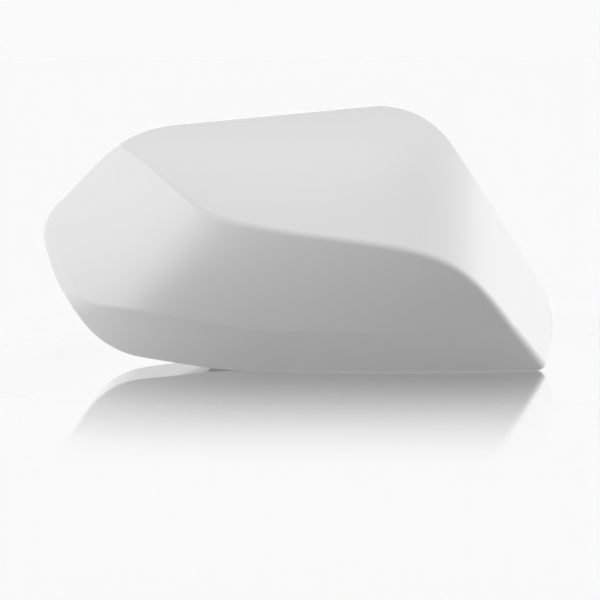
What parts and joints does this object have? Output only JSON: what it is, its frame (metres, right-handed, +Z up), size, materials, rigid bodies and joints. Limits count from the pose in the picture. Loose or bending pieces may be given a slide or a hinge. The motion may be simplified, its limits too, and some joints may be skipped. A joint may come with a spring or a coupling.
{
  "type": "wing mirror cover",
  "caption": "Glossy white painted shell that clips over the front of a car's wing mirror, with a sculpted crease, a turned-under lower band and an open back.",
  "frame": {"origin": "on the floor under the middle of the cover", "axes": "+X along the cover towards the slanted end, +Y from the nose back to the open rim, +Z up"},
  "size_m": [0.2343, 0.0846, 0.1186],
  "materials": {
    "white_paint": "glossy white paint outside, bare satin plastic inside"
  },
  "bodies": {
    "root": {"mirror_cover": "white_paint"}
  },
  "joints": []
}
